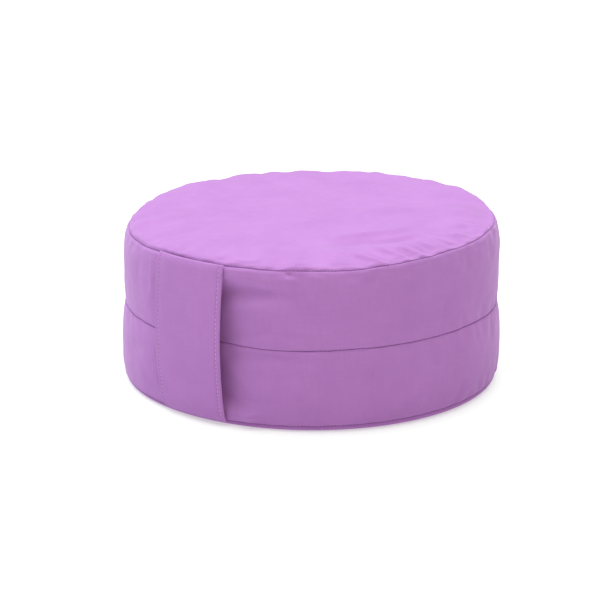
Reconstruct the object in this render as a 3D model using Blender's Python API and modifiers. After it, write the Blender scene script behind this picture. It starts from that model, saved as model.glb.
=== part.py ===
"""A zafu: a round, hull-filled meditation cushion with a wide carrying strap sewn down its side.

Metres, +Z up. The cushion stands on Z = 0 around the Z axis, and its strap faces -Y.
Azimuths are measured round the Z axis from the strap (-Y) towards +X.
"""

import math
from collections import namedtuple

import bmesh
import bpy

# Driving dimensions.
DIAMETER = 0.330
CROWN_HEIGHT = 0.148
STRAP_WIDTH = 0.071
STRAP_THICKNESS = 0.0025

RADIUS = DIAMETER / 2

# How the filled cover lies, at sections 45 degrees apart: where its three seams run, as a share of RADIUS
# and in metres, and how far the top panel rolls up over its seam before it turns flat.
Section = namedtuple("Section", "azimuth top_radius top_height waist_radius waist_height foot_radius roll")
SECTIONS = [
    Section(-180, 0.978, 0.1435, 0.990, 0.0710, 0.980, 0.0050),
    Section(-135, 0.976, 0.1410, 0.990, 0.0710, 0.975, 0.0040),
    Section(-90, 0.976, 0.1410, 0.991, 0.0700, 0.990, 0.0075),
    Section(-45, 0.978, 0.1372, 0.991, 0.0700, 0.990, 0.0055),
    Section(0, 0.989, 0.1398, 0.994, 0.0690, 0.960, 0.0065),
    Section(45, 0.994, 0.1400, 0.994, 0.0718, 0.974, 0.0025),
    Section(90, 0.990, 0.1440, 0.994, 0.0720, 0.990, 0.0030),
    Section(135, 0.980, 0.1385, 0.994, 0.0690, 0.990, 0.0040),
]

# The two side bands: how far each swells between its seams, and how square that swelling is.
UPPER_SWELL = 0.0030
LOWER_SWELL = 0.0045
SWELL_POWER = 3.0
FOOT_HEIGHT = 0.0045
FOOT_ROLL = 0.0045
CROWN_ROLL_POWER = 8

# The hand pocket: the strap holds the seams in, and the side stays pressed in behind and beside it.
# POCKET_FLATTENS is the share of the bands' swelling that it takes away. Azimuths are left and right limits.
POCKET_DEPTH = 0.0085
POCKET_FLATTENS = 0.6
POCKET_BOTTOM = 0.026
POCKET_TOP = 0.116
POCKET_EDGE = 0.014
POCKET_FULL = (-10.0, 15.0)
POCKET_GONE = (-25.0, 38.0)

# The strap's outer face, from the top seam to the foot seam.
StrapPoint = namedtuple("StrapPoint", "radius height")
STRAP_PATH = [
    StrapPoint(0.1664, 0.1400),
    StrapPoint(0.1704, 0.1240),
    StrapPoint(0.1724, 0.1000),
    StrapPoint(0.1730, 0.0720),
    StrapPoint(0.1726, 0.0440),
    StrapPoint(0.1706, 0.0200),
    StrapPoint(0.1622, 0.0024),
]

# How finely the cloth is divided.
SIDES = 90
CROWN_ROWS = 9
BAND_ROWS = 8
FOOT_ROWS = 3
STRAP_COLUMNS = 12
STRAP_ROWS = 24


def clear_scene():
    for obj in list(bpy.data.objects):
        bpy.data.objects.remove(obj)


def new_collection(name):
    collection = bpy.data.collections.new(name)
    bpy.context.scene.collection.children.link(collection)
    return collection


def dyed_cotton(name, colour):
    material = bpy.data.materials.new(name)
    material.use_nodes = True
    shader = material.node_tree.nodes["Principled BSDF"]
    shader.inputs["Base Color"].default_value = (*colour, 1.0)
    shader.inputs["Roughness"].default_value = 0.85
    shader.inputs["Metallic"].default_value = 0.0
    return material


def smooth_step(low, high, value):
    share = min(max((value - low) / (high - low), 0.0), 1.0)
    return share * share * (3 - 2 * share)


def through(before, start, end, after, share):
    """A smooth curve from start to end that leaves and arrives in line with its neighbours."""
    return start + 0.5 * share * (
        end - before
        + share * (2 * before - 5 * start + 4 * end - after)
        + share * share * (3 * (start - end) + after - before)
    )


def section_at(azimuth):
    """How the cover lies at any azimuth, read smoothly between the rows of SECTIONS."""
    spacing = 360 / len(SECTIONS)
    place = (azimuth - SECTIONS[0].azimuth) % 360 / spacing
    row = int(place)
    near = [SECTIONS[(row + step) % len(SECTIONS)] for step in (-1, 0, 1, 2)]
    return Section(*(through(*values, place - row) for values in zip(*near)))


def pocket_share(azimuth, height):
    """How fully the side is pressed in at a point: 1 behind the strap, 0 away from it."""
    side = 0 if azimuth < 0 else 1
    around_side = 1 - smooth_step(abs(POCKET_FULL[side]), abs(POCKET_GONE[side]), abs(azimuth))
    bottom = smooth_step(POCKET_BOTTOM - POCKET_EDGE, POCKET_BOTTOM, height)
    top = 1 - smooth_step(POCKET_TOP, POCKET_TOP + POCKET_EDGE, height)
    return around_side * bottom * top


def band_point(azimuth, low, high, swell, up):
    """(radius, height) on a side band, a share up of the way from its lower seam to its upper one."""
    height = low[1] + (high[1] - low[1]) * up
    radius = low[0] + (high[0] - low[0]) * up
    swollen = swell * (1 - abs(2 * up - 1) ** SWELL_POWER)
    pressed = pocket_share(azimuth, height)
    return radius + swollen * (1 - POCKET_FLATTENS * pressed) - POCKET_DEPTH * pressed, height


def outline(azimuth):
    """The half section at an azimuth, as (radius, height), from beside the crown's middle to the base's rim."""
    lie = section_at(azimuth)
    top = (lie.top_radius * RADIUS, lie.top_height)
    waist = (lie.waist_radius * RADIUS, lie.waist_height)
    foot = (lie.foot_radius * RADIUS, FOOT_HEIGHT)
    points = []
    for row in range(1, CROWN_ROWS):
        out = math.sin(math.radians(90 * row / CROWN_ROWS))
        roll = lie.roll * math.sqrt(1 - out**CROWN_ROLL_POWER)
        crown = (CROWN_HEIGHT - lie.top_height - lie.roll) * (1 - out**2)
        points.append((top[0] * out, lie.top_height + roll + crown))
    for low, high, swell in ((waist, top, UPPER_SWELL), (foot, waist, LOWER_SWELL)):
        for row in range(BAND_ROWS):
            points.append(band_point(azimuth, low, high, swell, 1 - row / BAND_ROWS))
    for row in range(FOOT_ROWS + 1):
        turn = math.radians(90 * row / FOOT_ROWS)
        points.append((foot[0] - FOOT_ROLL * (1 - math.cos(turn)), FOOT_HEIGHT * (1 - math.sin(turn))))
    return points


def around(azimuth, radius, height):
    """The point at that azimuth, radius and height."""
    turn = math.radians(azimuth)
    return radius * math.sin(turn), -radius * math.cos(turn), height


def make_cushion(collection, material):
    """The filled cover, one closed solid lofted round its sections, with a flat base."""
    mesh = bmesh.new()
    crown = mesh.verts.new((0, 0, CROWN_HEIGHT))
    rings = []
    for side in range(SIDES):
        azimuth = -180 + 360 * side / SIDES
        rings.append([mesh.verts.new(around(azimuth, *point)) for point in outline(azimuth)])
    for here, following in zip(rings, rings[1:] + rings[:1]):
        mesh.faces.new((crown, here[0], following[0]))
        for row in range(len(here) - 1):
            mesh.faces.new((here[row], here[row + 1], following[row + 1], following[row]))
    mesh.faces.new([ring[-1] for ring in reversed(rings)])
    data = bpy.data.meshes.new("cushion")
    mesh.to_mesh(data)
    mesh.free()
    data.shade_smooth()
    data.set_sharp_from_angle(angle=math.radians(40))
    data.materials.append(material)
    obj = bpy.data.objects.new("cushion", data)
    collection.objects.link(obj)
    return obj


def strap_point(down):
    """(radius, height) on the strap's outer face, a share down of the way from its top end to its foot."""
    place = down * (len(STRAP_PATH) - 1)
    row = min(int(place), len(STRAP_PATH) - 2)
    near = [STRAP_PATH[min(max(row + step, 0), len(STRAP_PATH) - 1)] for step in (-1, 0, 1, 2)]
    return [through(*values, place - row) for values in zip(*near)]


def make_strap(collection, material):
    """The doubled strip of cover cloth, caught in the top and foot seams and bowed out over the pocket."""
    bpy.ops.mesh.primitive_grid_add(x_subdivisions=STRAP_COLUMNS, y_subdivisions=STRAP_ROWS, size=1)
    obj = bpy.context.object
    obj.name = "carrying_strap"
    obj.data.name = "carrying_strap"
    for vertex in obj.data.vertices:
        across = math.degrees(vertex.co.x * STRAP_WIDTH / RADIUS)
        vertex.co = around(across, *strap_point(0.5 - vertex.co.y))
    obj.data.shade_smooth()
    obj.data.materials.append(material)
    cloth = obj.modifiers.new("doubled cloth", "SOLIDIFY")
    cloth.thickness = STRAP_THICKNESS
    cloth.offset = -1
    cloth.use_even_offset = True
    for holder in list(obj.users_collection):
        holder.objects.unlink(obj)
    collection.objects.link(obj)
    return obj


def main():
    clear_scene()
    collection = new_collection("Zafu cushion")
    cotton = dyed_cotton("Orchid cotton", (0.42, 0.18, 0.56))
    make_cushion(collection, cotton)
    make_strap(collection, cotton)


main()
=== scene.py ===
"""A round, hull-filled meditation cushion in orchid cotton, with a carrying strap sewn down its side.

Metres, +Z up. The cushion stands on the floor and its strap faces -Y. An azimuth is in degrees round the
Z axis, from the strap towards +X. "Down" says how far down the cover a point is, counted in seams: 0 in the
middle of the top, 1 at the top seam, 2 at the waist seam, 3 at the foot seam and 4 in the middle of the base.
"""

import math
from collections import namedtuple

import bpy
import numpy as np
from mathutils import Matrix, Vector, noise


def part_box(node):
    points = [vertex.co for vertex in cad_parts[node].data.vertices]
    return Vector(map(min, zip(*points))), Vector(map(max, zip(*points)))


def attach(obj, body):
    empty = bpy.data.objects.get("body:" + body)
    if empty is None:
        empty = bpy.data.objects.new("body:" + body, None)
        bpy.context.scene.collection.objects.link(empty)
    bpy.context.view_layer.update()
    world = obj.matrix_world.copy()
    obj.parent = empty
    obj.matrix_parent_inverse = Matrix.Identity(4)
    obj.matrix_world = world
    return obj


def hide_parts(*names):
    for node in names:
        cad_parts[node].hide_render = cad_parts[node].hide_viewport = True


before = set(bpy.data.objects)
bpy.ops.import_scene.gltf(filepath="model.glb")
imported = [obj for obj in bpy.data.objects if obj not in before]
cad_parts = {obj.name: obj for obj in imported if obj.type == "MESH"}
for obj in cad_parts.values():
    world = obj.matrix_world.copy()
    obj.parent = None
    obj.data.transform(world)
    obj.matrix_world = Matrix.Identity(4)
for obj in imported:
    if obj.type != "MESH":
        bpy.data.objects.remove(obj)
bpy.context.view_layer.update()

# The filled cover. Two rounds of cotton canvas and two side bands are sewn into one closed bag, which is
# packed hard with hulls. Each row says how it lies at one azimuth: the seams' radii, as shares of the cut
# radius, and their heights, and how high and over what reach the top rolls up from its seam to its flat.
low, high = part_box("cushion")
CROWN = high.z
UPPER_SWELL = 0.0015
LOWER_SWELL = 0.0030
CUT_RADIUS = (high.x - low.x) / 2 - LOWER_SWELL
BAND_CUT = CROWN / 2

Lie = namedtuple(
    "Lie", "azimuth top_radius top_height roll reach waist_radius waist_height foot_radius foot_height"
)
LIES = [
    Lie(-180, 0.978, 0.1434, 0.0058, 0.010, 0.990, 0.0710, 0.980, 0.0045),
    Lie(-135, 0.978, 0.1405, 0.0065, 0.010, 0.988, 0.0710, 0.975, 0.0040),
    Lie(-90, 0.978, 0.1386, 0.0084, 0.009, 0.988, 0.0700, 0.990, 0.0035),
    Lie(-45, 0.984, 0.1350, 0.0082, 0.006, 0.987, 0.0700, 0.996, 0.0045),
    Lie(0, 0.994, 0.1386, 0.0062, 0.006, 0.992, 0.0708, 0.970, 0.0045),
    Lie(45, 0.998, 0.1387, 0.0050, 0.007, 0.994, 0.0718, 0.976, 0.0055),
    Lie(90, 0.995, 0.1427, 0.0048, 0.012, 0.992, 0.0720, 0.992, 0.0065),
    Lie(135, 0.990, 0.1420, 0.0056, 0.012, 0.990, 0.0690, 0.996, 0.0065),
]
# How squarely the bands swell between their seams, and how softly the top's roll bends over into its flat,
# from 0 for a sharp edge. The top seam is drawn in by TUCK, and the band comes out again below it.
SWELL_POWER = 3.0
ROLL_BEND = 0.30
TUCK = 0.0034
TUCK_REACH = 0.0054
FOOT_ROLL = 0.0080
# The seams run a little unevenly: waves round each of them, by how many there are and how high they stand.
# The waist seam's are lower, and the other way up.
SEAM_WAVES = ((9, 0.00026), (16, 0.00022), (29, 0.00016))
WAIST_WAVES = 0.4

# Behind the strap the side stays pressed in. The hollow ends at the strap's left edge and fades to its right.
POCKET_DEPTH = 0.0072
POCKET_FLATTENS = 0.6
POCKET_BOTTOM = (0.014, 0.025)
POCKET_TOP = (0.116, 0.130)
POCKET_LEFT = (-15.0, -6.0)
POCKET_RIGHT = (10.0, 27.0)


def smooth_step(none, full, value):
    """0 where the value is at none, 1 where it is at full, and a smooth change between them."""
    share = np.clip((value - none) / (full - none), 0, 1)
    return share * share * (3 - 2 * share)


def between(before, start, end, after, share):
    """Values on a smooth curve from start to end that leaves and arrives in line with its neighbours."""
    bend = 2 * before - 5 * start + 4 * end - after + share * (3 * (start - end) + after - before)
    return start + 0.5 * share * (end - before + share * bend)


def read_round(table, azimuth):
    """The columns of a table whose rows go evenly round the cushion, read smoothly at these azimuths."""
    rows = np.array(table, float)
    place = (np.asarray(azimuth, float) - rows[0, 0]) / 360 * len(rows)
    row = np.floor(place).astype(int)
    near = [rows[(row + step) % len(rows)] for step in (-1, 0, 1, 2)]
    return type(table[0])(*np.moveaxis(between(*near, (place - row)[..., None]), -1, 0))


def pocket_share(azimuth, height):
    """How fully the side is pressed in: 1 behind the strap, 0 away from it."""
    azimuth = (azimuth + 180) % 360 - 180
    across = smooth_step(*POCKET_LEFT, azimuth) * (1 - smooth_step(*POCKET_RIGHT, azimuth))
    return across * smooth_step(*POCKET_BOTTOM, height) * (1 - smooth_step(*POCKET_TOP, height))


def band_lie(azimuth, upper, lower, swell, share):
    """(radius, height) on a side band, a share down of the way from its upper seam to its lower one."""
    radius = upper[0] + (lower[0] - upper[0]) * share
    height = upper[1] + (lower[1] - upper[1]) * share
    swollen = swell * (1 - abs(2 * share - 1) ** SWELL_POWER)
    pressed = pocket_share(azimuth, height)
    return radius + swollen * (1 - POCKET_FLATTENS * pressed) - POCKET_DEPTH * pressed, height


def cover_lie(azimuth, down):
    """(radius, height) of the cover, before its filling has pulled it into creases."""
    lie = read_round(LIES, azimuth)
    turn = np.radians(azimuth)
    uneven = sum(height * np.sin(count * turn + count) for count, height in SEAM_WAVES)
    top = (lie.top_radius * CUT_RADIUS - TUCK, lie.top_height + uneven)
    waist = (lie.waist_radius * CUT_RADIUS, lie.waist_height - WAIST_WAVES * uneven)
    foot = (lie.foot_radius * CUT_RADIUS, lie.foot_height)
    out = np.clip(down, 0, 1)
    flat = 1 - np.hypot(lie.reach, lie.roll) / top[0]
    over = np.clip((out - flat) / (1 - flat), 0, 1)
    bend = math.hypot(1, ROLL_BEND) - ROLL_BEND
    crown = (CROWN - top[1] - lie.roll) * (1 - np.minimum(out / flat, 1) ** 2)
    top_panel = (
        (top[0] - lie.reach) * np.minimum(out / flat, 1) + lie.reach * over,
        top[1] + lie.roll * (1 - (np.hypot(over, ROLL_BEND) - ROLL_BEND) / bend) + crown,
    )
    below = np.clip(down - 1, 0, 1)
    shoulder = TUCK * (1 - below) * (1 - np.exp(-below * BAND_CUT / TUCK_REACH))
    upper_band = band_lie(azimuth, top, waist, UPPER_SWELL, below)
    upper_band = (upper_band[0] + shoulder, upper_band[1])
    lower_band = band_lie(azimuth, waist, foot, LOWER_SWELL, np.clip(down - 2, 0, 1))
    inward = np.clip(down - 3, 0, 1)
    turned = np.clip(1 - inward * foot[0] / FOOT_ROLL, 0, 1)
    base = (foot[0] * (1 - inward), foot[1] * (1 - np.sqrt(1 - turned**2)))
    panels = [down <= 1, down <= 2, down <= 3]
    return [
        np.select(panels, [top_panel[k], upper_band[k], lower_band[k]], base[k]) for k in (0, 1)
    ]


def around(azimuth, radius, height):
    """Points at those azimuths, radii and heights."""
    turn = np.radians(azimuth)
    return np.stack(np.broadcast_arrays(radius * np.sin(turn), -radius * np.cos(turn), height), -1)


# The cover's mesh is all four-sided. A round panel is a square grid bent into a disc, so that its rim has
# evenly spaced points to weld to the bands. Rows lie close together beside each seam.
CELLS = 64
SIDES = 4 * CELLS
BAND_ROWS = 12
SEAM_ROW = 0.0008
SEAM_ROW_GROWTH = 1.35
SEAM_ROWS = 6


def rows_from_seam(span, count):
    """Shares of a span, from 0 at a seam to 1: close together at first, and then evenly spaced."""
    steps = [SEAM_ROW * SEAM_ROW_GROWTH**row for row in range(SEAM_ROWS)]
    even = count - SEAM_ROWS
    steps += [(span - sum(steps)) / even] * even
    return np.cumsum([0, *steps]) / span


def round_panel():
    """A round panel's grid: azimuths, and how far out each point is, from 0 in the middle to 1 at the rim."""
    step = np.linspace(-1, 1, CELLS + 1)
    across, along = np.meshgrid(step, step, indexing="ij")
    wide = abs(across) >= abs(along)
    major = np.where(wide, across, along)
    minor = np.where(wide, along, across)
    lean = 45 * minor / np.where(major == 0, 1, major)
    azimuth = np.where(wide, 90 + lean, 180 - lean) + np.where(major < 0, 180, 0)
    ring = np.rint(abs(major) * CELLS / 2).astype(int)
    outs = 1 - rows_from_seam(CUT_RADIUS, CELLS // 2)[::-1]
    return azimuth % 360, outs[ring]


def make_cover():
    """The cover as one closed mesh, with its "down" on each point and its place on the cut cloth as UVs."""
    half = rows_from_seam(BAND_CUT / 2, BAND_ROWS) / 2
    band = np.concatenate([half, 1 - half[-2::-1]])
    rows = np.concatenate([1 + band, 2 + band[1:]])
    ring = np.arange(SIDES) * 360 / SIDES
    azimuths, outs = round_panel()
    rim = outs > 1 - 1e-9
    azimuth = np.concatenate([np.tile(ring, len(rows)), azimuths[~rim], azimuths[~rim]])
    down = np.concatenate([np.repeat(rows, SIDES), outs[~rim], 4 - outs[~rim]])
    faces, cuts = [], []
    for row in range(len(rows) - 1):
        for side in range(SIDES):
            corners = [(row, side), (row + 1, side), (row + 1, side + 1), (row, side + 1)]
            faces.append([r * SIDES + s % SIDES for r, s in corners])
            cuts += [(math.radians(s * 360 / SIDES) * CUT_RADIUS, -rows[r] * BAND_CUT) for r, s in corners]
    inner = np.count_nonzero(~rim)
    flat = around(azimuths, outs * CUT_RADIUS, 0)[..., :2]
    for first_row, first_inner, turn in (
        (0, len(rows) * SIDES, 1),
        ((len(rows) - 1) * SIDES, len(rows) * SIDES + inner, -1),
    ):
        number = np.where(rim, first_row + np.rint(azimuths * SIDES / 360).astype(int) % SIDES, 0)
        number[~rim] = first_inner + np.arange(inner)
        for i in range(CELLS):
            for j in range(CELLS):
                corners = [(i, j), (i + 1, j), (i + 1, j + 1), (i, j + 1)][::turn]
                faces.append([number[corner] for corner in corners])
                cuts += [flat[corner] for corner in corners]
    mesh = bpy.data.meshes.new("cushion_cover")
    mesh.from_pydata(around(azimuth, *cover_lie(azimuth, down)).tolist(), [], faces)
    mesh.attributes.new("down", "FLOAT", "POINT").data.foreach_set("value", down)
    mesh.uv_layers.new(name="cut").uv.foreach_set("vector", np.ravel(cuts))
    cover = bpy.data.objects.new("cushion_cover", mesh)
    bpy.context.scene.collection.objects.link(cover)
    return cover


cover = make_cover()


def vertex_values(mesh, name, width=3):
    """One number or vector for each vertex."""
    values = np.zeros(len(mesh.vertices) * width, np.float32)
    if name in ("co", "normal"):
        mesh.vertices.foreach_get(name, values)
    else:
        mesh.attributes[name].data.foreach_get("value", values)
    return values.reshape(-1, width).astype(float) if width > 1 else values.astype(float)


# The filling swells the bag against its seams. The cloth is cut a little full, so beside each seam, which
# holds it in, the spare cloth gathers into small puckers: most at the right of the strap and behind.
Gather = namedtuple("Gather", "azimuth round band")
GATHERS = [
    Gather(-180, 0.12, 0.4),
    Gather(-135, 0.12, 0.4),
    Gather(-90, 0.15, 0.3),
    Gather(-45, 0.1, 0.1),
    Gather(0, 0.1, 0.1),
    Gather(45, 0.9, 0.3),
    Gather(90, 1.0, 0.3),
    Gather(135, 0.3, 0.3),
]
SETTLING_FRAMES = 20
FULLNESS = 0.030
FURTHEST_MOVE = 0.007
BROAD_ROUNDS = 24
# The cloth starts a little rough, so that it has somewhere to begin each pucker.
ROUGHNESS = 0.0006
ROUGH_SCALE = 90
CANVAS = {
    "quality": 6,
    "mass": 0.2,
    "tension_stiffness": 40,
    "compression_stiffness": 40,
    "shear_stiffness": 10,
    "bending_stiffness": 1.5,
    "air_damping": 2,
}
FILLING_PRESSURE = 4


def azimuth_of(points):
    return np.degrees(np.arctan2(points[:, 0], -points[:, 1]))


def evened(field, edges, rounds):
    """A field over the vertices, averaged with their neighbours' that many times."""
    near = np.bincount(edges.ravel(), minlength=len(field))[:, None]
    for _ in range(rounds):
        total = np.zeros_like(field)
        np.add.at(total, edges[:, 0], field[edges[:, 1]])
        np.add.at(total, edges[:, 1], field[edges[:, 0]])
        field = (field + total / near) / 2
    return field


def fill_cover(cover):
    """Simulates the filled cloth and keeps its creases on the form that the cover has."""
    mesh = cover.data
    start = vertex_values(mesh, "co")
    down = vertex_values(mesh, "down", 1)
    rough = start.copy()
    for i, point in enumerate(start):
        rough[i] += ROUGHNESS * np.array(noise.noise_vector(Vector(point * ROUGH_SCALE)))
    mesh.vertices.foreach_set("co", rough.ravel())
    held = cover.vertex_groups.new(name="held")
    seam = abs(down - np.rint(down)) * BAND_CUT < SEAM_ROW / 2
    fixed = (seam & (down > 0.5)) | (down > 3)
    held.add(np.nonzero(fixed)[0].tolist(), 1.0, "REPLACE")
    cloth = cover.modifiers.new("filling", "CLOTH")
    for setting, value in CANVAS.items():
        setattr(cloth.settings, setting, value)
    gather = read_round(GATHERS, azimuth_of(start))
    snugness = 1 - np.clip(np.where((down > 1) & (down < 3), gather.band, gather.round), 0, 1)
    snug = cover.vertex_groups.new(name="snug")
    for number, share in enumerate(snugness):
        snug.add([number], share, "REPLACE")
    cloth.settings.vertex_group_shrink = "snug"
    cloth.settings.shrink_min = -FULLNESS
    cloth.settings.shrink_max = 0
    cloth.settings.vertex_group_mass = "held"
    cloth.settings.use_pressure = True
    cloth.settings.uniform_pressure_force = FILLING_PRESSURE
    cloth.settings.effector_weights.gravity = 0
    cloth.collision_settings.use_collision = False
    scene = bpy.context.scene
    for number in range(1, SETTLING_FRAMES + 1):
        scene.frame_set(number)
    settled = cover.evaluated_get(bpy.context.evaluated_depsgraph_get())
    moved = vertex_values(settled.data, "co") - start
    cover.modifiers.remove(cloth)
    scene.frame_set(1)
    length = np.linalg.norm(moved, axis=1, keepdims=True)
    moved *= np.minimum(1, FURTHEST_MOVE / np.maximum(length, 1e-9))
    edges = np.array([edge.vertices[:] for edge in mesh.edges])
    kept = start + moved - evened(moved, edges, BROAD_ROUNDS)
    kept[fixed] = start[fixed]
    mesh.vertices.foreach_set("co", kept.ravel())
    mesh.update()


fill_cover(cover)


def make_finer(piece):
    """Subdivides the piece's mesh once, for good."""
    finer = piece.modifiers.new("finer", "SUBSURF")
    finer.levels = finer.render_levels = 1
    finer.uv_smooth = "NONE"
    evaluated = piece.evaluated_get(bpy.context.evaluated_depsgraph_get())
    mesh = bpy.data.meshes.new_from_object(evaluated)
    piece.modifiers.clear()
    coarse, piece.data = piece.data, mesh
    bpy.data.meshes.remove(coarse)
    mesh.name = piece.name
    mesh.shade_smooth()


make_finer(cover)

# The soft folds that stay in the cloth, from one place to another, a ridge where the height is above 0 and
# a trough where it is below.
Fold = namedtuple("Fold", "from_azimuth from_down to_azimuth to_down width height")
FOLDS = [
    # The top: a long ridge towards the right, the valley below it, and the gathers along its rim.
    Fold(44, 0.60, 86, 0.64, 0.0060, 0.0030),
    Fold(80, 0.62, 130, 0.84, 0.0085, 0.0024),
    Fold(50, 0.70, 84, 0.80, 0.0060, -0.0032),
    Fold(62, 0.70, 90, 0.76, 0.0040, 0.0012),
    Fold(88, 0.86, 112, 0.92, 0.006, -0.0016),
    Fold(10, 0.45, 95, 0.20, 0.013, 0.0028),
    Fold(100, 0.22, 128, 0.62, 0.011, 0.0026),
    Fold(-86, 0.36, -60, 0.66, 0.018, -0.0020),
    Fold(-145, 0.85, 165, 0.84, 0.016, -0.0030),
    Fold(140, 0.93, 172, 0.93, 0.013, 0.0034),
    Fold(118, 0.96, 132, 0.96, 0.008, -0.0018),
    Fold(52, 0.83, 60, 0.985, 0.0026, 0.0022),
    Fold(56, 0.87, 63, 0.990, 0.0018, -0.0018),
    Fold(62, 0.80, 68, 0.960, 0.0024, 0.0022),
    Fold(66, 0.86, 70, 0.990, 0.0017, -0.0020),
    Fold(69, 0.84, 73, 0.985, 0.0022, 0.0022),
    Fold(74, 0.87, 76, 0.990, 0.0018, -0.0017),
    Fold(78, 0.82, 80, 0.970, 0.0024, 0.0019),
    Fold(84, 0.88, 88, 0.990, 0.0022, -0.0016),
    Fold(92, 0.85, 97, 0.980, 0.0026, 0.0018),
    Fold(98, 0.89, 102, 0.990, 0.0022, -0.0016),
    Fold(106, 0.86, 110, 0.980, 0.0026, 0.0015),
    # The upper band: the strap drags it in below its seam, and it bags a little over the waist seam.
    Fold(11, 1.27, 34, 1.32, 0.0080, -0.0048),
    Fold(12, 1.50, 27, 1.49, 0.0080, 0.0022),
    Fold(31, 1.055, 33, 1.060, 0.0024, -0.0022),
    Fold(30, 1.125, 34, 1.135, 0.0034, 0.0013),
    Fold(37, 1.060, 43, 1.070, 0.0024, 0.0010),
    Fold(22, 1.78, 45, 1.81, 0.0055, -0.0015),
    Fold(13, 1.93, 34, 1.91, 0.0036, 0.0013),
    Fold(-16.5, 1.10, -17.5, 1.62, 0.0030, 0.0007),
    Fold(-24, 1.12, -26, 1.45, 0.0055, -0.0009),
    Fold(55, 1.12, 74, 1.20, 0.0060, -0.0009),
    Fold(92, 1.55, 101, 1.70, 0.0060, -0.0008),
    # The lower band.
    Fold(14, 2.10, 35, 2.11, 0.0046, -0.0022),
    Fold(33, 2.035, 54, 2.055, 0.0028, 0.0009),
    Fold(13, 2.28, 18, 2.50, 0.0060, 0.0012),
    Fold(16, 2.33, 36, 2.37, 0.0060, -0.0016),
    Fold(20, 2.70, 33, 2.72, 0.0050, -0.0008),
    Fold(17, 2.88, 23, 2.90, 0.0044, 0.0046),
    Fold(60, 2.30, 82, 2.42, 0.0080, -0.0009),
    Fold(-20, 2.30, -32, 2.42, 0.0060, -0.0009),
]
# Folds wander a little from their straight lines, sink to a share of their height at both ends, and fade
# beside a seam.
WANDER = 0.0018
WANDER_LENGTHS = (0.013, 0.017)
FOLD_ENDS = 0.35
FOLD_FADES = 0.0015


def cut_place(azimuth, down):
    """The place on the flat cut pieces, in metres: from a round's middle, or along and down the bands."""
    out = np.minimum(down, 4 - down)
    on_round = around(azimuth, out * CUT_RADIUS, 0)[..., :2]
    on_band = np.stack(np.broadcast_arrays(np.radians(azimuth) * CUT_RADIUS, -down * BAND_CUT), -1)
    return np.where(np.expand_dims(out <= 1, -1), on_round, on_band)


def fold_lift(place, start, end, width, height):
    """How far one soft fold, from start to end on the flat cloth, lifts it at these places."""
    wandering = place + WANDER * np.sin(place[:, ::-1] / WANDER_LENGTHS)
    line = end - start
    share = np.clip((wandering - start) @ line / (line @ line), 0, 1)
    aside = np.linalg.norm(wandering - start - share[:, None] * line, axis=1)
    risen = FOLD_ENDS + (1 - FOLD_ENDS) * np.sin(math.pi * share)
    return height * risen * np.exp(-((aside / width) ** 2))


def from_seam(down):
    """How far points are from the nearest seam, in metres over the cloth."""
    span = np.where((down < 1) | (down > 3), CUT_RADIUS, BAND_CUT)
    return abs(down - np.clip(np.rint(down), 1, 3)) * span


def press_folds(piece):
    """Presses the folds into the cover, along the cloth's own normals."""
    mesh = piece.data
    points = vertex_values(mesh, "co")
    down = vertex_values(mesh, "down", 1)
    place = cut_place(azimuth_of(points), down)
    lift = np.zeros(len(points))
    for fold in FOLDS:
        start = cut_place(fold.from_azimuth, np.float64(fold.from_down))
        end = cut_place(fold.to_azimuth, np.float64(fold.to_down))
        same_panel = np.floor(down) == math.floor(fold.from_down)
        lift += same_panel * fold_lift(place, start, end, fold.width, fold.height)
    lift *= smooth_step(0, FOLD_FADES, from_seam(down))
    points += vertex_values(mesh, "normal") * lift[:, None]
    mesh.vertices.foreach_set("co", points.ravel())
    mesh.update()


press_folds(cover)

# Each seam is a narrow valley between two rolled lips of cloth. The lips stand LIP_PLACE from it.
SEAM_DEPTH = 0.0007
SEAM_WIDTH = 0.00038
LIP_HEIGHT = 0.0004
LIP_PLACE = 0.0026
LIP_WIDTH = 0.0018


def press_seams(piece):
    """Presses the seams in, along the cloth's own normals, and marks how near each point is to one."""
    mesh = piece.data
    away = from_seam(vertex_values(mesh, "down", 1))
    near = np.exp(-((away / SEAM_WIDTH) ** 2))
    lift = LIP_HEIGHT * np.exp(-(((away - LIP_PLACE) / LIP_WIDTH) ** 2)) - SEAM_DEPTH * near
    points = vertex_values(mesh, "co") + vertex_values(mesh, "normal") * lift[:, None]
    points[:, 2] = np.maximum(points[:, 2], 0)
    mesh.vertices.foreach_set("co", points.ravel())
    # This nearness also sets where the canvas is darkened with painted shade along each seam.
    mesh.attributes.new("seam", "FLOAT", "POINT").data.foreach_set("value", near)
    mesh.update()


press_seams(cover)


def linear(colour, alpha=1.0):
    """An sRGB hex colour as the linear values that the shaders take."""
    parts = [int(colour[place : place + 2], 16) / 255 for place in (1, 3, 5)]
    return (*(p / 12.92 if p <= 0.04045 else ((p + 0.055) / 1.055) ** 2.4 for p in parts), alpha)


def add(tree, kind, inputs=None, **settings):
    """Adds a node: its own settings, and for each input a value or another node's output to link."""
    node = tree.nodes.new("ShaderNode" + kind)
    for name, value in settings.items():
        setattr(node, name, value)
    for place, value in (inputs or {}).items():
        if isinstance(value, bpy.types.NodeSocket):
            tree.links.new(value, node.inputs[place])
        else:
            node.inputs[place].default_value = value
    return node


def mixed(tree, factor, first, second):
    """A blend of two colours."""
    inputs = {"Factor": factor, "A": first, "B": second}
    return add(tree, "Mix", inputs, data_type="RGBA").outputs["Result"]


# Plain-woven cotton canvas, piece dyed: matt, with a soft nap that lightens where it is seen edge on. Slubs,
# the thick places in the yarn, streak it faintly both ways, and the dye has taken a little unevenly.
THREAD = 0.0011  # real threads are 0.5 mm apart; they are drawn twice as coarse, so that they show at all
SLUB_SCALES = ((420, 60, 1), (60, 420, 1))
SEAM_STITCH = 0.0032


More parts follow.
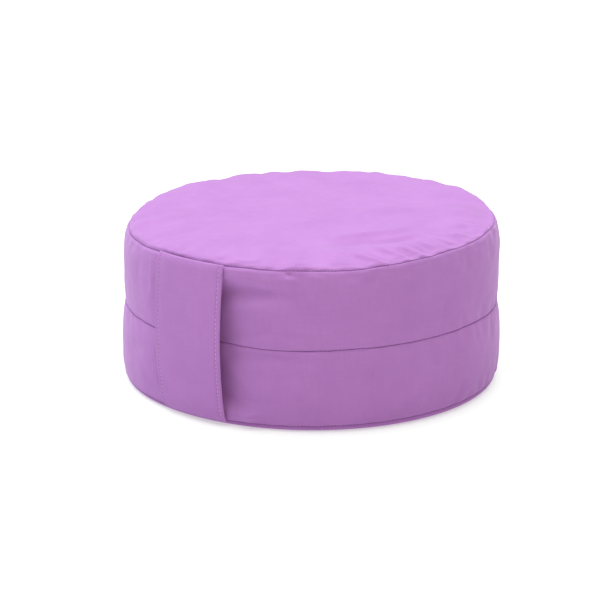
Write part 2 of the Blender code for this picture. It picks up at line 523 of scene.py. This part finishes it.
def cotton_canvas():
    material = bpy.data.materials.new("Dyed cotton canvas")
    material.use_nodes = True
    tree = material.node_tree
    tree.nodes.clear()
    cut = add(tree, "UVMap", uv_map="cut").outputs["UV"]
    threads = add(tree, "VectorMath", {0: cut, 1: (math.pi / THREAD,) * 3}, operation="MULTIPLY")
    waves = add(tree, "VectorMath", {0: threads.outputs[0]}, operation="SINE")
    split = add(tree, "SeparateXYZ", {0: waves.outputs[0]})
    lumps = add(tree, "Math", {0: split.outputs[0], 1: split.outputs[1]}, operation="MULTIPLY")
    weave = add(tree, "Math", {0: lumps.outputs[0]}, operation="ABSOLUTE")
    slubs = []
    for scale in SLUB_SCALES:
        stretched = add(tree, "VectorMath", {0: cut, 1: scale}, operation="MULTIPLY")
        slubs.append(
            add(tree, "TexNoise", {"Vector": stretched.outputs[0], "Scale": 1, "Detail": 2})
        )
    slub = add(tree, "Math", {0: slubs[0].outputs[0], 1: slubs[1].outputs[0]}, operation="ADD")
    place = add(tree, "TexCoord").outputs["Object"]
    mottle = add(tree, "TexNoise", {"Vector": place, "Scale": 30, "Detail": 4, "Roughness": 0.6})
    crumple = add(tree, "TexNoise", {"Vector": place, "Scale": 110, "Detail": 3, "Roughness": 0.5})
    dye = mixed(tree, mottle.outputs[0], linear("#a46db4"), linear("#b17ac0"))
    uneven = add(
        tree,
        "MapRange",
        {"Value": slub.outputs[0], "From Min": 0.6, "From Max": 1.4, "To Min": 0.970, "To Max": 1.030},
    )
    colour = add(tree, "VectorMath", {0: dye, "Scale": uneven.outputs[0]}, operation="SCALE")
    # Along a seam the colour is darkened with painted shade from its groove, and a little more at each
    # stitch.
    spot = add(tree, "SeparateXYZ", {0: place})
    angle = add(tree, "Math", {0: spot.outputs[0], 1: spot.outputs[1]}, operation="ARCTAN2")
    along = add(
        tree, "Math", {0: angle.outputs[0], 1: math.tau * CUT_RADIUS / SEAM_STITCH}, operation="MULTIPLY"
    )
    stitches = add(tree, "Math", {0: along.outputs[0]}, operation="SINE")
    painted_stitch_shade = add(
        tree,
        "MapRange",
        {"Value": stitches.outputs[0], "From Min": -1, "From Max": 1, "To Min": 0.50, "To Max": 0.85},
    )
    seam = add(tree, "Attribute", attribute_name="seam").outputs["Fac"]
    painted_seam_shade = add(tree, "Math", {0: seam, 1: painted_stitch_shade.outputs[0]}, operation="MULTIPLY")
    shaded = mixed(tree, painted_seam_shade.outputs[0], colour.outputs[0], linear("#6f4280"))
    crumpled = add(tree, "Bump", {"Strength": 0.5, "Distance": 0.0005, "Height": crumple.outputs[0]})
    slubbed = add(
        tree,
        "Bump",
        {"Strength": 0.6, "Distance": 0.00014, "Height": slub.outputs[0], "Normal": crumpled.outputs[0]},
    )
    woven = add(
        tree,
        "Bump",
        {"Strength": 0.6, "Distance": 0.00006, "Height": weave.outputs[0], "Normal": slubbed.outputs[0]},
    )
    cloth = add(
        tree,
        "BsdfPrincipled",
        {
            "Base Color": shaded,
            "Roughness": 0.9,
            "Specular IOR Level": 0.15,
            "Sheen Weight": 0.28,
            "Sheen Roughness": 0.42,
            "Sheen Tint": linear("#f0d8f8"),
            "Normal": woven.outputs[0],
        },
    )
    add(tree, "OutputMaterial", {"Surface": cloth.outputs[0]})
    return material


canvas = cotton_canvas()
cover.data.materials.append(canvas)
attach(cover, "root")
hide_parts("cushion")

# The carrying strap. A wide strip of the same canvas, folded double so that its long edges are folds,
# topstitched along both, and caught in the top seam and in the foot seam. Its left edge lies close to the
# side, and its right edge stands out over the pocket.
STRAP_WIDTH = 0.071
STRAP_THICKNESS = 0.0022
StrapLie = namedtuple("StrapLie", "height left_radius right_radius")
STRAP_LIES = [
    StrapLie(0.1400, 0.1628, 0.1640),
    StrapLie(0.1355, 0.1656, 0.1662),
    StrapLie(0.1270, 0.1672, 0.1676),
    StrapLie(0.1110, 0.1686, 0.1702),
    StrapLie(0.0910, 0.1694, 0.1725),
    StrapLie(0.0700, 0.1697, 0.1734),
    StrapLie(0.0480, 0.1694, 0.1724),
    StrapLie(0.0260, 0.1670, 0.1696),
    StrapLie(0.0105, 0.1646, 0.1662),
    StrapLie(0.0030, 0.1606, 0.1616),
]
# Pulled down its length, it lies a little flatter than the round of the side. The stitches sink it along two
# lines, and painted shade darkens it there. It is pressed thin at its ends, where the seams grip it.
STRAP_FLATNESS = 0.0010
STRAP_COLUMNS = 48
STRAP_ROWS = 96
MEASURED_PLACES = 400
SLOPE_STEP = 0.0001
EDGE_ROLL = 0.0011
STITCH_INSET = 0.0036
STITCH_GROOVE = 0.0005
STITCH_GROOVE_WIDTH = 0.0008
STITCH_SHADE = 0.35
END_TAPER = 0.05
END_THICKNESS = 0.3

# Its own soft folds, from one place to another: metres right of its middle, and metres down from its top.
StrapFold = namedtuple("StrapFold", "from_right from_down to_right to_down width height")
STRAP_FOLDS = [
    StrapFold(-0.024, 0.004, -0.017, 0.024, 0.0045, 0.0005),
    StrapFold(-0.012, 0.010, -0.006, 0.034, 0.0060, -0.0005),
    StrapFold(0.014, 0.006, 0.020, 0.030, 0.0050, 0.0005),
    StrapFold(-0.030, 0.052, 0.010, 0.066, 0.0080, -0.0005),
    StrapFold(0.012, 0.060, 0.028, 0.112, 0.0090, 0.0006),
    StrapFold(-0.026, 0.118, -0.004, 0.108, 0.0060, -0.0005),
    StrapFold(0.000, 0.122, 0.014, 0.138, 0.0055, 0.0005),
]


def strap_rows(place):
    """The rows of STRAP_LIES, read smoothly at these places down the table."""
    table = np.array(STRAP_LIES)
    last = len(table) - 1
    row = np.minimum(place.astype(int), last - 1)
    near = [table[np.clip(row + step, 0, last)] for step in (-1, 0, 1, 2)]
    return StrapLie(*np.moveaxis(between(*near, (place - row)[..., None]), -1, 0))


def measured_strap():
    """How far down the cloth each of many places in STRAP_LIES is, in metres."""
    places = np.linspace(0, len(STRAP_LIES) - 1, MEASURED_PLACES)
    lie = strap_rows(places)
    steps = np.hypot(np.diff(lie.height), np.diff((lie.left_radius + lie.right_radius) / 2))
    return places, np.concatenate([[0], np.cumsum(steps)])


STRAP_PLACES, STRAP_LENGTHS = measured_strap()
CUT_LENGTH = STRAP_LENGTHS[-1]


def strap_lie(side, share):
    """(radius, height) of its outer face: side from 0 at its left edge to 1 at its right, and share down."""
    lie = strap_rows(np.interp(np.asarray(share) * CUT_LENGTH, STRAP_LENGTHS, STRAP_PLACES))
    radius = lie.left_radius + (lie.right_radius - lie.left_radius) * side
    return radius - STRAP_FLATNESS * 4 * side * (1 - side) * np.sin(math.pi * share), lie.height


def on_stitches(across):
    """How near places across the strap are to a row of stitches: 1 on it, and 0 away from it."""
    inset = (STRAP_WIDTH / 2 - abs(across)) - STITCH_INSET
    return np.exp(-((inset / STITCH_GROOVE_WIDTH) ** 2))


def strap_surface(across, share, depth):
    """Points in the strap: metres right of its middle, a share down, and depth in from its outer face."""
    side = across / STRAP_WIDTH + 0.5
    radius, height = strap_lie(side, share)
    above = strap_lie(side, np.maximum(share - SLOPE_STEP, 0))
    below = strap_lie(side, np.minimum(share + SLOPE_STEP, 1))
    slope = np.arctan2(below[0] - above[0], above[1] - below[1])
    place = np.stack(np.broadcast_arrays(across, share * CUT_LENGTH), -1).reshape(-1, 2)
    lift = sum(
        fold_lift(place, np.array(fold[0:2]), np.array(fold[2:4]), fold.width, fold.height)
        for fold in STRAP_FOLDS
    ).reshape(np.shape(radius))
    groove = STITCH_GROOVE * on_stitches(across)
    from_end = smooth_step(0, END_TAPER, np.minimum(share, 1 - share))
    pressed = END_THICKNESS + (1 - END_THICKNESS) * from_end
    inward = pressed * (depth + groove * (1 - 2 * depth / STRAP_THICKNESS)) - lift
    radius = radius - inward * np.cos(slope)
    height = height - inward * np.sin(slope)
    return around(np.degrees(across / CUT_RADIUS), radius, height)


def make_strap():
    """The strap as one closed thin mesh: a loop round its cross-section, carried down its length."""
    flat = STRAP_WIDTH / 2 - EDGE_ROLL
    face = np.linspace(-flat, flat, STRAP_COLUMNS + 1)
    turn = np.radians(np.array([30, 60, 90, 120, 150]))
    middle = STRAP_THICKNESS / 2
    edge = flat + EDGE_ROLL * np.sin(turn)
    edge_depth = middle - middle * np.cos(turn)
    across = np.concatenate([face, edge, face[::-1], -edge[::-1]])
    depth = np.concatenate(
        [np.zeros_like(face), edge_depth, np.full_like(face, STRAP_THICKNESS), edge_depth[::-1]]
    )
    loop = len(across)
    shares = np.linspace(0, 1, STRAP_ROWS + 1)
    points = np.concatenate([strap_surface(across, np.full(loop, s), depth) for s in shares])
    faces = []
    for row in range(STRAP_ROWS):
        for place in range(loop):
            corners = [(row, place), (row + 1, place), (row + 1, place + 1), (row, place + 1)]
            faces.append([r * loop + p % loop for r, p in corners])
    outer = list(range(len(face)))
    right = list(range(len(face), len(face) + len(edge)))
    back = [right[-1] + 1 + place for place in outer][::-1]
    left = list(range(back[0] + 1, loop))
    ends = [[outer[k], outer[k + 1], back[k + 1], back[k]] for k in range(STRAP_COLUMNS)]
    ends += [[outer[-1], *right, back[-1]], [back[0], *left, outer[0]]]
    for row, turned in ((0, 1), (STRAP_ROWS, -1)):
        faces += [[row * loop + place for place in corners[::turned]] for corners in ends]
    mesh = bpy.data.meshes.new("carrying_strap_cloth")
    mesh.from_pydata(points.tolist(), [], faces)
    cuts = [(across[corner % loop], -shares[corner // loop] * CUT_LENGTH) for f in faces for corner in f]
    mesh.uv_layers.new(name="cut").uv.foreach_set("vector", np.ravel(cuts))
    # How much painted shade the canvas lays along each row of stitches.
    shade = np.tile(STITCH_SHADE * on_stitches(across), STRAP_ROWS + 1)
    mesh.attributes.new("seam", "FLOAT", "POINT").data.foreach_set("value", shade)
    mesh.shade_smooth()
    strap = bpy.data.objects.new("carrying_strap_cloth", mesh)
    bpy.context.scene.collection.objects.link(strap)
    return strap


strap = make_strap()
strap.data.materials.append(canvas)
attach(strap, "root")
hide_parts("carrying_strap")

# The topstitching along both of the strap's folds, in spun polyester thread. Each stitch is a short arch
# that comes up out of the cloth and goes down into it again, and all of them are one mesh.
THREAD_RADIUS = 0.00040
STITCH_LENGTH = 0.0031
STITCHES = 38
STITCH_RINGS = 5
STITCH_SIDES = 6
STITCH_SINKS = 1.7


def make_topstitching():
    """Both rows of stitches, each stitch a small closed tube that follows the strap."""
    along = np.linspace(-1, 1, STITCH_RINGS)
    turn = np.linspace(0, math.tau, STITCH_SIDES, endpoint=False)
    proud = THREAD_RADIUS * (1 - STITCH_SINKS * along**2)
    points, faces = [], []
    for edge in (-1, 1):
        across = np.full(STITCH_RINGS, edge * (STRAP_WIDTH / 2 - STITCH_INSET))
        for number in range(1, STITCHES - 1):
            shares = (number + 0.5) / STITCHES + along * STITCH_LENGTH / 2 / CUT_LENGTH
            centre = strap_surface(across, shares, -proud)
            outward = strap_surface(across, shares, -proud - THREAD_RADIUS) - centre
            run = np.gradient(centre, axis=0)
            aside = np.cross(run, outward)
            aside *= THREAD_RADIUS / np.linalg.norm(aside, axis=1, keepdims=True)
            first = len(points)
            for ring in range(STITCH_RINGS):
                for angle in turn:
                    offset = math.cos(angle) * aside[ring] + math.sin(angle) * outward[ring]
                    points.append(centre[ring] + offset)
            for ring in range(STITCH_RINGS - 1):
                for side in range(STITCH_SIDES):
                    corners = [(ring, side), (ring, side + 1), (ring + 1, side + 1), (ring + 1, side)]
                    faces.append([first + r * STITCH_SIDES + s % STITCH_SIDES for r, s in corners])
            last = first + (STITCH_RINGS - 1) * STITCH_SIDES
            faces.append([first + side for side in range(STITCH_SIDES)][::-1])
            faces.append([last + side for side in range(STITCH_SIDES)])
    mesh = bpy.data.meshes.new("strap_topstitching")
    mesh.from_pydata(points, [], faces)
    mesh.shade_smooth()
    stitching = bpy.data.objects.new("strap_topstitching", mesh)
    bpy.context.scene.collection.objects.link(stitching)
    return stitching


# Spun polyester sewing thread, dyed to match: smoother than the canvas, so each stitch has a faint light
# along its top. Its twist shows as fine slanting ridges, with painted highlight on their crests and painted
# shade between them.
TWIST = 0.0006


def sewing_thread():
    material = bpy.data.materials.new("Spun polyester thread")
    material.use_nodes = True
    tree = material.node_tree
    tree.nodes.clear()
    place = add(tree, "TexCoord").outputs["Object"]
    spot = add(tree, "SeparateXYZ", {0: place})
    slant = add(tree, "Math", {0: spot.outputs[0], 1: spot.outputs[2]}, operation="ADD")
    turns = add(tree, "Math", {0: slant.outputs[0], 1: math.tau / TWIST}, operation="MULTIPLY")
    twist = add(tree, "Math", {0: turns.outputs[0]}, operation="SINE")
    painted_twist_light = add(tree, "MapRange", {"Value": twist.outputs[0], "From Min": -1, "From Max": 1})
    colour = mixed(tree, painted_twist_light.outputs[0], linear("#b485c4"), linear("#c9a2d6"))
    ridges = add(tree, "Bump", {"Strength": 0.5, "Distance": 0.0001, "Height": twist.outputs[0]})
    thread = add(
        tree,
        "BsdfPrincipled",
        {
            "Base Color": colour,
            "Roughness": 0.55,
            "Specular IOR Level": 0.4,
            "Normal": ridges.outputs[0],
        },
    )
    add(tree, "OutputMaterial", {"Surface": thread.outputs[0]})
    return material


topstitching = make_topstitching()
topstitching.data.materials.append(sewing_thread())
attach(topstitching, "root")

# A white studio floor in a white room. It is covered in matt paper that glows a little, so that it stays
# plain white right up to the cushion's own soft shadow.
bpy.ops.mesh.primitive_plane_add(size=16)
floor = bpy.context.object
floor.name = "studio_floor"
white = bpy.data.materials.new("White studio paper")
white.use_nodes = True
paper = white.node_tree.nodes["Principled BSDF"]
paper.inputs["Base Color"].default_value = linear("#bfbfbf")
paper.inputs["Roughness"].default_value = 0.9
paper.inputs["Specular IOR Level"].default_value = 0.1
paper.inputs["Emission Color"].default_value = linear("#ffffff")
paper.inputs["Emission Strength"].default_value = 0.47
floor.data.materials.append(white)

room = bpy.data.worlds.new("White room")
room.use_nodes = True
room.node_tree.nodes["Background"].inputs["Color"].default_value = linear("#ffffff")
room.node_tree.nodes["Background"].inputs["Strength"].default_value = 0.22
bpy.context.scene.world = room
bpy.context.scene.view_settings.view_transform = "Standard"

# Most of the light comes from a broad lamp overhead, a little to the left. A weak warm fill shines from the
# right of the camera, and a weaker cool one from far to its left.
StudioLight = namedtuple("StudioLight", "name strength degrees_wide towards colour")
LIGHTS = [
    StudioLight("overhead", 5.35, 80, (-0.22, 0.06, 1.0), "#f2fff2"),
    StudioLight("fill", 0.44, 40, (0.75, -0.65, 0.45), "#ffd6b0"),
    StudioLight("cool side", 0.20, 40, (-0.80, -0.45, 0.40), "#b4c8ff"),
]
for row in LIGHTS:
    lamp = bpy.data.lights.new(row.name, "SUN")
    lamp.energy = row.strength
    lamp.angle = math.radians(row.degrees_wide)
    lamp.color = linear(row.colour)[:3]
    light = bpy.data.objects.new(row.name, lamp)
    light.rotation_euler = Vector(row.towards).to_track_quat("Z", "Y").to_euler()
    bpy.context.scene.collection.objects.link(light)

# The camera stands 2 m off to the right of the strap and looks down a little.
AZIMUTH, ELEVATION, DISTANCE = 38.0, 17.0, 1.98
turn, lift = math.radians(AZIMUTH), math.radians(ELEVATION)
back = Vector((math.sin(turn) * math.cos(lift), -math.cos(turn) * math.cos(lift), math.sin(lift)))
aim = Vector((0, 0, 0.0710))
camera_data = bpy.data.cameras.new("camera")
camera_data.sensor_width = 36
camera_data.lens = 134.4
camera_data.shift_x = -0.0183
camera_data.shift_y = -0.0113
camera = bpy.data.objects.new("camera", camera_data)
camera.location = aim + back * DISTANCE
camera.rotation_euler = (-back).to_track_quat("-Z", "Y").to_euler()
bpy.context.scene.collection.objects.link(camera)
bpy.context.scene.camera = camera
